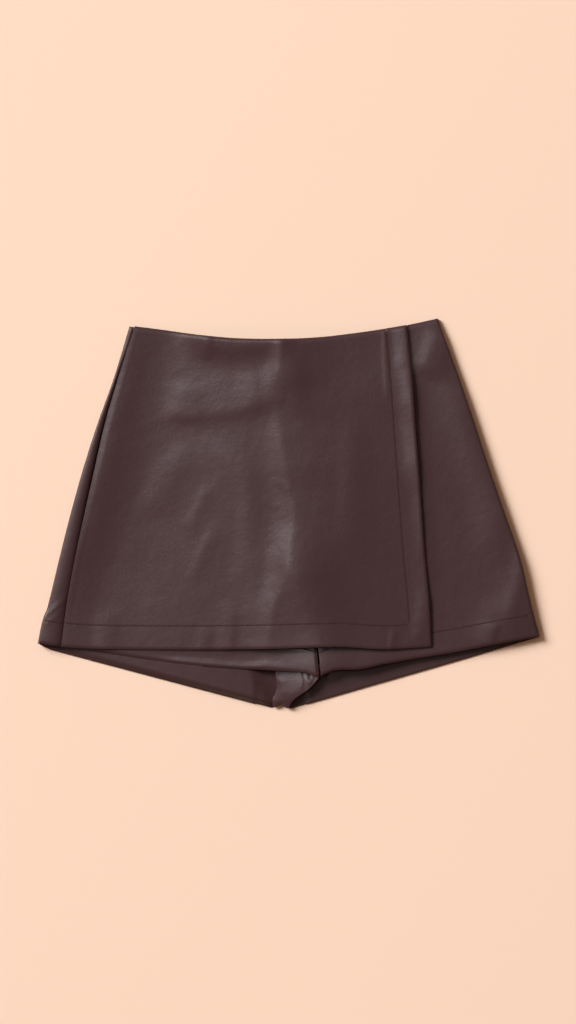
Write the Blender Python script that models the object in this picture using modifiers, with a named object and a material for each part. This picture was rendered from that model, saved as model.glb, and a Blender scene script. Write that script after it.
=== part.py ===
"""A wrap skort in coated cloth, laid flat on a surface with its front up.

The garment is a pair of short shorts with one wrap panel over the front. The wrap panel is sewn
into the waist and the left side seam, and its other edge hangs free. Lying flat, the cloth goes
round two folds: the back's cloth comes over the left fold to the side seam, and the right front's
cloth goes under the right fold to a seam on the underside.

Sizes are in millimetres, X to the right, Y towards the waist and Z up. The origin is under the
middle of the garment, on the surface that it lies on. MM turns the sizes into metres.
"""

from collections import namedtuple
from functools import lru_cache
from math import cos, exp, hypot, inf, pi, sin

import bmesh
import bpy

MM = 0.001

# The cloth and how it is made up.
CLOTH = 1.1  # thickness of the coated cloth
HEM = 25.5  # depth of a turned hem, a standard inch
FACING = 24.5  # depth of the wrap's turned edge
SEAM_GAP = 0.3  # space kept between two pieces where they are sewn together
WRAP_LIFT = 2.6  # height of the wrap's face over the shorts' face
WAIST_STEP = 1.0  # how much lower the layers under the wrap start at the waist
EDGE_ROLL = 0.8  # how far the turned waist edge rolls down
EDGE_ROLL_REACH = 4.0  # and how far below the edge the roll begins

# The valley along the side seam, and the rolled edge of the wrap beside it.
VALLEY_WIDTH = 6.0
VALLEY_SHARE_OF_LIFT = 0.3  # how much of the lift the wrap loses for each millimetre of valley
ROLL_AT = 6.0
ROLL_FLANK = 5.0
ROLL_BACK = 20.0
ROLL_HEIGHT = 1.2
ROLL_MIDDLE_Y = 45.0  # the roll is at its highest here, and half as high far from it
ROLL_REACH = 120.0
STRIP_RISE = 0.06  # how steeply the strip beside the side seam rises to the left fold

# The seams, as straight lines from the waist to the foot. The front's slants, because the garment
# lies a little twisted, and the right fold has carried the right side seam to the underside.
Point = namedtuple("Point", "x y")
FRONT_SEAM = (Point(1.8, 193.0), Point(33.0, -180.0))
UNDER_SEAM = (Point(158.0, 216.0), Point(255.0, -140.0))
BACK_SEAM_X = -7.7
CENTRE_DIP = 0.4  # how far the shorts dip along the front seam
CENTRE_DIP_WIDTH = 5.0

# One row for each section across the garment, from the waist to the crotch: its height on the
# page, where the outline's folds, the side seam and the wrap's free edge cross it, the radius of
# the folds, the depth of the side seam's valley, and how much higher the middle stands. It stands
# highest at the crotch, over the gusset.
Section = namedtuple("Section", "y left_fold side_seam wrap_edge right_fold radius dip crown")
SECTIONS = (
    Section(207, -177.2, -171.4, 130.4, 168.2, 2.5, 0.5, 0.8),
    Section(150, -194.4, -189.7, 136.3, 188.9, 2.6, 2.0, 0.8),
    Section(100, -212.3, -204.2, 139.6, 205.9, 2.6, 2.4, 0.8),
    Section(50, -228.3, -215.7, 143.4, 222.3, 2.7, 2.4, 0.7),
    Section(0, -242.3, -226.9, 146.9, 239.4, 2.7, 1.6, 0.6),
    Section(-50, -254.9, -237.5, 150.7, 256.6, 2.8, 0.8, 0.4),
    Section(-100, -266.9, -246.6, 155.5, 268.4, 2.9, 0.2, 0.2),
    Section(-150, -279.7, -253.2, 158.0, 281.3, 3.0, 0.0, 0.1),
    Section(-180, -288.0, -258.0, 160.0, 288.0, 3.0, 0.0, 1.1),
)

# Edges that run across the garment, each a few points (x, y) of one smooth curve.
WAIST = (
    Point(-175, 207.4),
    Point(-143.6, 203.5),
    Point(-99.2, 197.3),
    Point(-54.8, 193.4),
    Point(-4.9, 192.9),
    Point(34.0, 194.8),
    Point(78.4, 200.1),
    Point(130.5, 208.3),
    Point(168.0, 216.4),
)
WRAP_HEM = (
    Point(-278.1, -143.9),
    Point(-252.4, -147.5),
    Point(-214.7, -150.1),
    Point(-109.2, -151.2),
    Point(-23.8, -150.0),
    Point(56.2, -147.9),
    Point(105.0, -150.6),
    Point(157.7, -148.0),
)
LEFT_LEG_HEM = (
    Point(-256.0, -147.9),
    Point(-203.6, -154.1),
    Point(-164.1, -160.8),
    Point(-108.9, -168.1),
    Point(-68.2, -171.4),
    Point(-17.1, -174.3),
    Point(17.3, -176.7),
    Point(33.0, -181.4),
)
RIGHT_LEG_HEM = (
    Point(33.0, -181.4),
    Point(42.5, -176.7),
    Point(51.7, -173.4),
    Point(79.0, -172.6),
    Point(104.6, -167.4),
    Point(138.5, -161.4),
    Point(178.3, -155.2),
    Point(239.3, -143.6),
    Point(278.1, -136.7),
)

# The back's lower edge is nearly straight: one line down each leg to its inner corner, with a
# notch between the corners where the centre seam ends.
BACK_HEM = (
    Point(-278.1, -144.4),
    Point(-265.2, -150.7),
    Point(-20.0, -215.3),
    Point(-7.7, -212.1),
    Point(1.0, -216.6),
    Point(267.6, -139.7),
    Point(278.1, -136.7),
)
LEFT_CORNER, RIGHT_CORNER = BACK_HEM[2], BACK_HEM[4]
UNDER_GUSSET = (-25.0, 9.0)  # the back's hem is doubled as far as these, beside the gusset's foot

# The largest folds, a row each: a line on the page, how far the fold reaches on its upper left
# side and on the other, and its height, which is below 0 in a trough.
Fold = namedtuple("Fold", "path upper lower height")
BODY_FOLDS = (  # these bend the wrap and the shorts' front under it alike
    Fold(((-5, 320), (-4, 100), (14, 10), (24, -120), (26, -300), (26, -480)), 120, 260, 2.1),
    Fold(((-130, 280), (-150, 115), (-170, 30), (-186, -20), (-206, -80), (-230, -190)), 34, 50, -1.6),
)
WRAP_FOLDS = (
    Fold(((-5, 320), (-4, 100), (14, 10), (24, -120), (26, -300), (26, -480)), 110, 220, 2.1),
    Fold(((-4, 250), (-6, 165), (-3, 104)), 18, 30, 2.8),  # the upper part of the centre crease
    Fold(((-8, 150), (0, 66), (8, 20), (30, -60)), 17, 90, 2.7),  # its middle
    Fold(((40, 40), (8, -36), (3, -72), (-16, -112), (-20, -190), (-18, -320)), 27, 110, 3.9),  # and its foot
    Fold(((-154, 106), (-62, 114), (6, 146)), 36, 12, 1.5),  # the ridge across the hip
    Fold(((-88, 92), (-50, 40), (-44, 0), (-46, -45), (-54, -110)), 13, 14, 0.9),
    Fold(((-104, 82), (-134, 40), (-158, -10)), 15, 16, 0.8),  # the slanting swell over the leg
    Fold(((134, 290), (136, 125), (139, 50), (143, -50)), 16, 6, 2.2),  # the lift of the free edge
    Fold(((146, 30), (150, -60), (155, -160)), 12, 6, 1.4),
)
SIDE_FOLDS = (  # the right front's own, where it shows beside the wrap
    Fold(((172, 250), (164, 180), (146, 120)), 18, 10, 2.2),
    Fold(((170, 190), (198, 96), (226, 8), (232, -90)), 22, 12, 2.8),
    Fold(((250, 10), (253, -60), (260, -118), (268, -190)), 36, 8, 3.0),
)
TOWARDS_UPPER_LEFT = (-0.72, 0.69)
FOLD_STEPS = 16  # straight steps that a fold's line is drawn in
FOLD_END = 0.3  # share of its length over which a fold rises from nothing at either end
FOLD_CREST = 1.8  # 2 is a round crest and 1 a sharp one
SEAM_FADE = 22.0  # distance from the side seam over which the folds rise from nothing
FLAP_OVERLAP = 12.0  # how far under the wrap's edge the right front's own folds begin

# At the right leg, beside the crotch, the shorts' front stands a little open.
CROTCH_LIFT = 3.0
CROTCH_REACH = 42.0
CROTCH_LEFT, CROTCH_RIGHT, CROTCH_Y = 22.0, 84.0, -176.0

# The gusset between the legs, a row for each section from the one under the front hems down to
# the back's notch: its two ends, the height of its face there, and how far it arches between.
GussetRow = namedtuple("GussetRow", "x0 y0 x1 y1 left_z right_z arch")
GUSSET = (
    GussetRow(-16.0, -166.3, 34.5, -167.0, 2.6, 4.0, 0.2),
    GussetRow(-15.4, -176.3, 33.4, -180.0, 3.0, 6.5, 0.6),
    GussetRow(-13.8, -185.2, 29.5, -186.5, 3.4, 7.8, 1.2),
    GussetRow(-13.4, -193.0, 21.8, -194.6, 3.4, 7.4, 1.6),
    GussetRow(-15.5, -201.0, 11.8, -201.5, 3.2, 6.2, 1.4),
    GussetRow(-18.5, -208.0, 3.6, -208.0, 2.8, 5.0, 0.8),
    GussetRow(-17.6, -215.0, -0.6, -215.9, 2.6, 3.6, 0.2),
)
GUSSET_NOTCH = 3.0  # the notch in its lower edge
GUSSET_COLUMNS = 8
GUSSET_SUBDIVISIONS = 2  # rows set between two rows of the table

# The grids that the panels are cut into. A row from 0 to 1 lies between the waist and the hem, and
# one from 1 to 2 in the turned hem. The wrap's columns count in the same way, up to its turned
# edge. Other columns are shares of a stretch of cloth, or angles round a fold.
WAIST_ROWS = (0.0, 0.012)
BODY_ROWS = 26
FLAT_ROWS = (0.2, 0.4, 0.6, 0.8)
TURN_ROWS = (0.997, 1.03, 1.5, 2.0)
SEAM_COLUMNS = (0.0, 0.006, 0.012, 0.02, 0.03, 0.042, 0.06)
CENTRE_COLUMNS = (0.0, 0.025, 0.055)
WRAP_COLUMNS = 26
FRONT_LEFT_COLUMNS = 13
FRONT_RIGHT_COLUMNS = 20
STRIP_COLUMNS = (0.0, 0.12, 0.3, 0.6, 1.0)
FOLD_ANGLES = (25, 55, 90, 125, 155, 180)
FLOOR_COLUMNS = (0.0, 0.35, 0.7)
SETTLE_STEPS = 12

LEATHERETTE_COLOUR = (0.066, 0.036, 0.035, 1.0)
LEATHERETTE_ROUGHNESS = 0.42


def spread(first, last, count):
    """Evenly spaced values from first to last."""
    return [first + (last - first) * i / (count - 1) for i in range(count)]


def between(a, b, share):
    """The value that lies that share of the way from a to b."""
    return a + (b - a) * share


def smooth_value(xs, ys, x):
    """The height at x of a smooth curve through the points, straight beyond its ends."""
    last = len(xs) - 1
    slopes = []
    for i in range(last + 1):
        low, high = max(i - 1, 0), min(i + 1, last)
        slopes.append((ys[high] - ys[low]) / (xs[high] - xs[low]))
    if x <= xs[0]:
        return ys[0] + slopes[0] * (x - xs[0])
    if x >= xs[last]:
        return ys[last] + slopes[last] * (x - xs[last])
    i = max(k for k in range(last) if xs[k] <= x)
    step = xs[i + 1] - xs[i]
    t = (x - xs[i]) / step
    start = ys[i] * (1 + 2 * t) * (1 - t) ** 2 + slopes[i] * step * t * (1 - t) ** 2
    end = ys[i + 1] * t * t * (3 - 2 * t) + slopes[i + 1] * step * t * t * (t - 1)
    return start + end


def edge_y(points, x):
    """The height on the page of an edge that runs across, at x."""
    return smooth_value([p.x for p in points], [p.y for p in points], x)


def straight_y(points, x):
    """The same for an edge of straight lines."""
    for a, b in zip(points, points[1:]):
        if x <= b.x:
            return between(a.y, b.y, max(0.0, (x - a.x) / (b.x - a.x)))
    return points[-1].y


def section_at(y):
    """A section's values at any height on the page, read from the table's smooth columns."""
    rows = SECTIONS[::-1]
    heights = [row.y for row in rows]
    values = []
    for column in Section._fields[1:]:
        values.append(smooth_value(heights, [getattr(row, column) for row in rows], y))
    return Section(y, *values)


def seam_x(seam, y):
    """Where a straight seam crosses a height on the page."""
    top, foot = seam
    return between(top.x, foot.x, (top.y - y) / (top.y - foot.y))


def bump(distance, width):
    """1 on a line, fading smoothly to 0 about two widths away."""
    return exp(-((distance / width) ** 2))


@lru_cache(maxsize=None)
def fold_line(path):
    """The points of a fold's line, drawn as a smooth curve through those of its row."""
    stations = range(len(path))
    line = []
    for i in range(FOLD_STEPS + 1):
        at = (len(path) - 1) * i / FOLD_STEPS
        line.append(tuple(smooth_value(stations, [point[k] for point in path], at) for k in (0, 1)))
    return line


def fold_height(fold, x, y):
    """How high one fold stands at a point."""
    line = fold_line(fold.path)
    nearest, reach = inf, fold.upper
    for (ax, ay), (bx, by) in zip(line, line[1:]):
        run_x, run_y = bx - ax, by - ay
        t = ((x - ax) * run_x + (y - ay) * run_y) / (run_x**2 + run_y**2)
        t = min(max(t, 0.0), 1.0)
        away_x, away_y = x - ax - t * run_x, y - ay - t * run_y
        distance = hypot(away_x, away_y)
        if distance < nearest:
            faces_it = run_x * TOWARDS_UPPER_LEFT[1] - run_y * TOWARDS_UPPER_LEFT[0]
            is_upper = (run_x * away_y - run_y * away_x) * faces_it > 0
            nearest, reach = distance, fold.upper if is_upper else fold.lower
    (ax, ay), (bx, by) = line[0], line[-1]
    run_x, run_y = bx - ax, by - ay
    along = ((x - ax) * run_x + (y - ay) * run_y) / (run_x**2 + run_y**2)
    rise = min(1.0, max(0.0, min(along, 1 - along) / FOLD_END))
    return fold.height * rise * rise * (3 - 2 * rise) * exp(-((nearest / reach) ** FOLD_CREST))


def relief(folds, x, y):
    """The folds of a table together."""
    return sum(fold_height(fold, x, y) for fold in folds)


def from_side_seam(x, section):
    """0 at the side seam and 1 away from it: the folds die out towards the seam."""
    inside = min(max((x - section.side_seam) / SEAM_FADE, 0.0), 1.0)
    return inside * inside * (3 - 2 * inside)


def crotch_lift(x, y):
    """How far the shorts' front stands open at the right leg."""
    beside = x - min(max(x, CROTCH_LEFT), CROTCH_RIGHT)
    return CROTCH_LIFT * bump(hypot(beside, y - CROTCH_Y), CROTCH_REACH)


def shorts_base(x, y):
    """The face of the shorts' front without its own folds, above the surface that it lies on."""
    section = section_at(y)
    share = (x - section.side_seam) / (section.right_fold - section.side_seam)
    crown = section.crown * sin(pi * min(max(share, 0.0), 1.0))
    valley = section.dip * bump(x - section.side_seam, VALLEY_WIDTH)
    below_waist = edge_y(WAIST, x) - y
    edge = EDGE_ROLL * max(0.0, 1 - below_waist / EDGE_ROLL_REACH) ** 2
    lifted = crotch_lift(x, y) + relief(BODY_FOLDS, x, y)
    return 2 * section.radius + crown - valley - edge + lifted * from_side_seam(x, section)


def shorts_z(x, y):
    """The face of the shorts' front, with the folds where it shows beside the wrap."""
    section = section_at(y)
    centre = CENTRE_DIP * bump(x - seam_x(FRONT_SEAM, y), CENTRE_DIP_WIDTH)
    shows = min(max((x - section.wrap_edge) / FLAP_OVERLAP + 1, 0.0), 1.0)
    folds = relief(SIDE_FOLDS, x, y) * shows if shows else 0.0
    return shorts_base(x, y) - centre + folds


def wrap_z(x, y):
    """The face of the wrap panel, which lies on the shorts' front."""
    section = section_at(y)
    from_seam = x - section.side_seam
    valley = VALLEY_SHARE_OF_LIFT * section.dip * bump(from_seam, VALLEY_WIDTH)
    roll = ROLL_HEIGHT * bump(from_seam - ROLL_AT, ROLL_FLANK if from_seam < ROLL_AT else ROLL_BACK)
    roll *= (1 + bump(y - ROLL_MIDDLE_Y, ROLL_REACH)) / 2
    folds = relief(WRAP_FOLDS, x, y) * from_side_seam(x, section)
    return shorts_base(x, y) + WRAP_LIFT - valley + roll + folds


def seam_z(y):
    """The height of the side seam, where the wrap's edge meets the back's cloth."""
    return wrap_z(section_at(y).side_seam, y)


def left_half_height(y):
    """Half the height of the left fold. The strip beside it falls a little to the side seam."""
    section = section_at(y)
    return (seam_z(y) + STRIP_RISE * (section.side_seam - section.left_fold)) / 2


def right_half_height(y):
    """Half the height of the right fold, where the right front's face begins to turn under."""
    section = section_at(y)
    return shorts_z(section.right_fold - section.radius, y) / 2


def lower_waist(x):
    """The waist edge of the layers under the wrap. It is the garment's own edge beside the wrap."""
    step = WAIST_STEP if x < SECTIONS[0].wrap_edge else 0.0
    return edge_y(WAIST, x) - step


def row_y(top, bottom, row):
    """The height on the page of a grid row, between an edge at the waist and one at the hem."""
    hem_top = bottom + HEM
    if row <= 1:
        return between(top, hem_top, row)
    return between(hem_top, bottom, row - 1)


def settle(x_at, top_at, bottom_at, row):
    """The point where a column, which gives x for any y, meets a row, which gives y for any x."""
    y = row_y(WAIST[0].y, WRAP_HEM[0].y, row)
    for _ in range(SETTLE_STEPS):
        x = x_at(y)
        y = row_y(top_at(x), bottom_at(x), row)
    return x, y


def leatherette(name):
    """Dark brown coated cloth with a soft shine."""
    material = bpy.data.materials.new(name)
    material.use_nodes = True
    shader = material.node_tree.nodes["Principled BSDF"]
    shader.inputs["Base Color"].default_value = LEATHERETTE_COLOUR
    shader.inputs["Roughness"].default_value = LEATHERETTE_ROUGHNESS
    shader.inputs["Metallic"].default_value = 0.0
    return material


def cloth_panel(name, columns, rows, point, is_double, collection):
    """A panel: a grid whose face is placed point by point, with a wall behind it.

    The wall is one cloth thick, and two where is_double says that an edge is turned in.
    """
    grid = bmesh.new()
    bmesh.ops.create_grid(grid, x_segments=len(columns) - 1, y_segments=len(rows) - 1, size=0.5)
    doubled = []
    for vertex in grid.verts:
        column = columns[round((vertex.co.x + 0.5) * (len(columns) - 1))]
        row = rows[round((0.5 - vertex.co.y) * (len(rows) - 1))]
        x, y, z = point(column, row)
        vertex.co = (x * MM, y * MM, z * MM)
        if is_double(column, row):
            doubled.append(vertex.index)
    mesh = bpy.data.meshes.new(name)
    grid.to_mesh(mesh)
    grid.free()
    mesh.shade_smooth()
    mesh.materials.append(leatherette("leatherette_" + name))
    panel = bpy.data.objects.new(name, mesh)
    collection.objects.link(panel)
    wall = panel.modifiers.new("wall", "SOLIDIFY")
    wall.thickness = CLOTH * MM
    wall.offset = -1
    wall.use_even_offset = True
    if doubled:
        turned_in = panel.vertex_groups.new(name="turned_in")
        turned_in.add(doubled, 1.0, "REPLACE")
        wall.thickness = 2 * CLOTH * MM
        wall.vertex_group = turned_in.name
        wall.thickness_vertex_group = 0.5
    return panel


def in_turn(row):
    """Whether a row lies in the turned hem, or a column of the wrap in its turned edge."""
    return row > 1


BODY_GRID = [*WAIST_ROWS, *spread(0, 1, BODY_ROWS)[1:-1], *TURN_ROWS]
FLAT_GRID = [WAIST_ROWS[0], *FLAT_ROWS, *TURN_ROWS]


def make_wrap(collection):
    """The wrap panel, from the side seam to its free edge, turned in along that edge and the hem."""
    columns = [*SEAM_COLUMNS, *spread(SEAM_COLUMNS[-1], 1, WRAP_COLUMNS)[1:-1], *TURN_ROWS]

    def point(column, row):
        def x_at(y):
            section = section_at(y)
            turn = section.wrap_edge - FACING
            if column <= 1:
                return between(section.side_seam + SEAM_GAP / 2, turn, column)
            return between(turn, section.wrap_edge, column - 1)

        x, y = settle(x_at, lambda x: edge_y(WAIST, x), lambda x: edge_y(WRAP_HEM, x), row)
        return x, y, wrap_z(x, y)

    def is_double(column, row):
        return in_turn(row) or in_turn(column)

    return cloth_panel("wrap_panel", columns, BODY_GRID, point, is_double, collection)


def make_front_left(collection):
    """The shorts' left front, from the side seam to the centre front seam, under the wrap."""
    columns = [*SEAM_COLUMNS, *spread(SEAM_COLUMNS[-1], 1, FRONT_LEFT_COLUMNS)[1:-1]]
    columns += [1 - share for share in CENTRE_COLUMNS[::-1]]

    def point(column, row):
        def x_at(y):
            left = section_at(y).side_seam + SEAM_GAP / 2
            return between(left, seam_x(FRONT_SEAM, y) - SEAM_GAP / 2, column)

        x, y = settle(x_at, lower_waist, lambda x: edge_y(LEFT_LEG_HEM, x), row)
        return x, y, shorts_z(x, y)

    def is_double(column, row):
        return in_turn(row)

    return cloth_panel("front_left", columns, BODY_GRID, point, is_double, collection)


def make_front_right(collection):
    """The shorts' right front: it shows beside the wrap, and goes round the right fold."""
    face = [*CENTRE_COLUMNS, *spread(CENTRE_COLUMNS[-1], 1, FRONT_RIGHT_COLUMNS)[1:]]
    columns = [("face", share) for share in face]
    columns += [("fold", angle) for angle in FOLD_ANGLES]
    columns += [("floor", 1.0)]

    def point(column, row):
        kind, amount = column

        def x_at(y):
            section = section_at(y)
            radius, fold = section.radius, section.right_fold
            if kind == "face":
                return between(seam_x(FRONT_SEAM, y) + SEAM_GAP / 2, fold - radius, amount)
            if kind == "fold":
                return fold - radius + radius * sin(amount * pi / 180)
            return between(fold - radius, seam_x(UNDER_SEAM, y) + SEAM_GAP / 2, amount)

        def bottom_at(x):
            if kind == "face":
                return edge_y(RIGHT_LEG_HEM, x)
            if kind == "fold":
                return between(edge_y(RIGHT_LEG_HEM, x), straight_y(BACK_HEM, x), amount / 180)
            return straight_y(BACK_HEM, x)

        x, y = settle(x_at, lower_waist, bottom_at, row)
        if kind == "face":
            return x, y, shorts_z(x, y)
        if kind == "fold":
            return x, y, right_half_height(y) * (1 + cos(amount * pi / 180))
        return x, y, 0.0

    def is_double(column, row):
        return in_turn(row)

    return cloth_panel("front_right", columns, BODY_GRID, point, is_double, collection)


def make_back_left(collection):
    """The left back: from the back seam along the surface, round the left fold, to the side seam."""
    columns = [("seam", BACK_SEAM_X - SEAM_GAP / 2), ("seam", LEFT_CORNER.x)]
    columns += [("floor", share) for share in FLOOR_COLUMNS]
    columns += [("fold", angle) for angle in FOLD_ANGLES[::-1]]
    columns += [("strip", share) for share in STRIP_COLUMNS[::-1]]

    def point(column, row):
        kind, amount = column

        def x_at(y):
            section = section_at(y)
            radius, fold = section.radius, section.left_fold
            if kind == "seam":
                return amount
            if kind == "floor":
                return between(UNDER_GUSSET[0], fold + radius, amount)
            if kind == "fold":
                return fold + radius - radius * sin(amount * pi / 180)
            return between(section.side_seam - SEAM_GAP / 2, fold + radius, amount)

        def bottom_at(x):
            if kind == "strip":
                return edge_y(WRAP_HEM, x)
            if kind == "fold":
                return between(edge_y(WRAP_HEM, x), straight_y(BACK_HEM, x), amount / 180)
            return straight_y(BACK_HEM, x)

        x, y = settle(x_at, lower_waist, bottom_at, row)
        if kind == "strip":
            fall = amount * amount * (3 - 2 * amount)
            return x, y, between(seam_z(y), 2 * left_half_height(y), fall)
        if kind == "fold":
            return x, y, left_half_height(y) * (1 + cos(amount * pi / 180))
        return x, y, 0.0

    def is_double(column, row):
        return in_turn(row) and column[0] != "seam"

    return cloth_panel("back_left", columns, BODY_GRID, point, is_double, collection)


def make_back_right(collection):
    """The right back, flat on the surface from the seam by the right fold to the back seam."""
    columns = [("floor", share) for share in (1.0, *FLOOR_COLUMNS[::-1])]
    columns += [("seam", RIGHT_CORNER.x), ("seam", BACK_SEAM_X + SEAM_GAP / 2)]

    def point(column, row):
        kind, amount = column

        def x_at(y):
            if kind == "seam":
                return amount
            return between(UNDER_GUSSET[1], seam_x(UNDER_SEAM, y) - SEAM_GAP / 2, amount)

        x, y = settle(x_at, lower_waist, lambda x: straight_y(BACK_HEM, x), row)
        return x, y, 0.0

    def is_double(column, row):
        return in_turn(row) and column[0] != "seam"

    return cloth_panel("back_right", columns, FLAT_GRID, point, is_double, collection)


def make_gusset(collection):
    """The short bridge of cloth between the legs, from under the front hems to the back's notch."""
    last = len(GUSSET) - 1
    shares = spread(0, 1, GUSSET_COLUMNS)
    rows = spread(0, last, last * GUSSET_SUBDIVISIONS + 1)
    columns = [[getattr(row, field) for row in GUSSET] for field in GussetRow._fields]

    def point(share, row):
        here = GussetRow(*(smooth_value(range(last + 1), column, row) for column in columns))
        arch = sin(pi * share)
        notch = GUSSET_NOTCH * arch ** 3 * max(0.0, row - last + 1)
        x = between(here.x0, here.x1, share)
        y = between(here.y0, here.y1, share) + notch
        return x, y, between(here.left_z, here.right_z, share) + here.arch * arch

    def is_double(column, row):
        return False

    return cloth_panel("crotch_gusset", shares, rows, point, is_double, collection)


def main():
    for old in list(bpy.data.objects):
        bpy.data.objects.remove(old)
    skort = bpy.data.collections.new("wrap_skort")
    bpy.context.scene.collection.children.link(skort)
    make_wrap(skort)
    make_front_left(skort)
    make_front_right(skort)
    make_back_left(skort)
    make_back_right(skort)
    make_gusset(skort)


main()
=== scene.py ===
# %% [markdown]
# # A wrap skort in faux leather, laid flat
#
# The real thing is a pair of short shorts with one big panel wrapped over the front. It is cut
# from polyurethane-coated cloth, sewn into the waist and the left side seam, and its other edge
# hangs free. The photograph shows it from straight above, lying on a pale surface, so the looks
# come from three things: the outline, the low folds that the stiff cloth keeps, and the soft
# shine that makes those folds visible. Left and right are those of the picture.
#
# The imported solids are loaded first. They are the size and the place of everything below.

from collections import namedtuple
from math import pi

import bpy
import numpy as np
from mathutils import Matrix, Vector


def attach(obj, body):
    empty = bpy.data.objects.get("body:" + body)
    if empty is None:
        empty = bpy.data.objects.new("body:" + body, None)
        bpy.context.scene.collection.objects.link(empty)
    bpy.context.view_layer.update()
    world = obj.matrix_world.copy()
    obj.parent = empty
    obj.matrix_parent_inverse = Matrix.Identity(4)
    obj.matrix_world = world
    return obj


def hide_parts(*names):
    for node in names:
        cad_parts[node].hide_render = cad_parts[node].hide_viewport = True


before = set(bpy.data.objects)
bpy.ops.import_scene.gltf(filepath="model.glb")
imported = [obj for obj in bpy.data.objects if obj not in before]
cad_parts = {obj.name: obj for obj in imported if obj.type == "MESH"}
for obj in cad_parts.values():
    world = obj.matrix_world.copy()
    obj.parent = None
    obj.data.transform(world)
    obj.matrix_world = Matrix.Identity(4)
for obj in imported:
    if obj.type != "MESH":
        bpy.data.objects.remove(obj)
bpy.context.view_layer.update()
BODY = "root"

# %% [markdown]
# ## The cut, in millimetres
#
# A garment is drafted in flat curves, and a flat-lay photograph shows those curves nearly as they
# were drafted. So the outline is kept as a few points on each edge, in millimetres, and a smooth
# curve is drawn through them. Across the garment, one row of a table says where the folds, the
# side seam and the free edge lie at that height. The solids are made from the same outline,
# because the cloth has to lie in the same place. The cloth is thinner than their walls, as the
# real cloth is, and the wrap lies half a millimetre closer to the shorts than its solid does.

# %% Sizes of the cut
MM = 0.001
CLOTH = 0.75  # thickness of the coated cloth
HEM = 25.5  # depth of a turned hem, a standard inch
FACING = 23.4  # depth of the wrap's turned free edge
SEAM_GAP = 0.3  # space kept between two pieces where they are sewn together
WRAP_LIFT = 2.1  # height of the wrap's face over the shorts' face
WAIST_STEP = 1.0  # how much lower the layers under the wrap start at the waist

# One row for each section across the garment, from the waist to the crotch: its height on the
# page, where the outline's folds, the side seam and the wrap's free edge cross it, the radius of
# the folds, the depth of the side seam's valley, and how much higher the middle stands.
Section = namedtuple("Section", "y left_fold side_seam wrap_edge right_fold radius dip crown")
SECTIONS = (
    Section(207, -177.2, -171.4, 130.4, 168.2, 2.5, 0.5, 0.8),
    Section(150, -194.4, -189.7, 136.3, 188.9, 2.6, 2.0, 0.8),
    Section(100, -212.3, -204.2, 139.6, 205.9, 2.6, 2.4, 0.8),
    Section(50, -228.3, -215.7, 143.4, 222.3, 2.7, 2.4, 0.7),
    Section(0, -242.3, -226.9, 146.9, 239.4, 2.7, 1.6, 0.6),
    Section(-50, -254.9, -237.5, 150.7, 256.6, 2.8, 0.8, 0.4),
    Section(-100, -266.9, -246.6, 155.5, 268.4, 2.9, 0.2, 0.2),
    Section(-150, -279.7, -253.2, 158.0, 281.3, 3.0, 0.0, 0.1),
    Section(-180, -288.0, -258.0, 160.0, 288.0, 3.0, 0.0, 1.1),
)

# Edges that run across the garment, each a few points (x, y) of one smooth curve. The back's hem
# alone is straight from point to point.
WAIST = (
    (-175, 207.4),
    (-143.6, 203.5),
    (-99.2, 197.3),
    (-54.8, 193.4),
    (-4.9, 192.9),
    (34.0, 194.8),
    (78.4, 200.1),
    (130.5, 208.3),
    (168.0, 216.4),
)
WRAP_HEM = (
    (-278.1, -143.9),
    (-252.4, -147.5),
    (-214.7, -150.1),
    (-109.2, -151.2),
    (-23.8, -150.0),
    (56.2, -147.9),
    (105.0, -150.6),
    (157.7, -148.0),
)
LEFT_LEG_HEM = (
    (-256.0, -147.9),
    (-203.6, -154.1),
    (-164.1, -160.8),
    (-108.9, -168.1),
    (-68.2, -171.4),
    (-17.1, -174.3),
    (17.3, -176.7),
    (33.0, -181.4),
)
RIGHT_LEG_HEM = (
    (33.0, -181.4),
    (42.5, -176.7),
    (51.7, -173.4),
    (79.0, -172.6),
    (104.6, -167.4),
    (138.5, -161.4),
    (178.3, -155.2),
    (239.3, -143.6),
    (278.1, -136.7),
)
BACK_HEM = (
    (-278.1, -144.4),
    (-265.2, -150.7),
    (-20.0, -215.3),
    (-7.7, -212.1),
    (1.0, -216.6),
    (267.6, -139.7),
    (278.1, -136.7),
)

# The seams, each a straight line from the waist to the foot. The front's slants, because the
# garment lies a little twisted.
FRONT_SEAM = ((1.8, 193.0), (33.0, -180.0))
UNDER_SEAM = ((158.0, 216.0), (255.0, -140.0))
BACK_SEAM_X = -7.7
print("drafted:", len(SECTIONS), "sections, hem", HEM, "mm deep")

# %% Curves through the points
STEP_LIMIT = 30.0  # this many widths from its line a soft step is flat


def smooth(xs, ys, x):
    """Heights at x of a smooth curve through the points, straight beyond its ends."""
    xs, ys, x = np.asarray(xs, float), np.asarray(ys, float), np.asarray(x, float)
    low, high = np.maximum(np.arange(len(xs)) - 1, 0), np.minimum(np.arange(len(xs)) + 1, len(xs) - 1)
    slopes = (ys[high] - ys[low]) / (xs[high] - xs[low])
    i = np.clip(np.searchsorted(xs, x, side="right") - 1, 0, len(xs) - 2)
    step = xs[i + 1] - xs[i]
    t = np.clip((x - xs[i]) / step, 0, 1)
    start = ys[i] * (1 + 2 * t) * (1 - t) ** 2 + slopes[i] * step * t * (1 - t) ** 2
    end = ys[i + 1] * t * t * (3 - 2 * t) + slopes[i + 1] * step * t * t * (t - 1)
    beyond = np.minimum(x - xs[0], 0) * slopes[0] + np.maximum(x - xs[-1], 0) * slopes[-1]
    return start + end + beyond


def edge_y(points, x):
    """The height on the page of a smooth edge at x."""
    xs, ys = zip(*points)
    return smooth(xs, ys, x)


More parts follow.
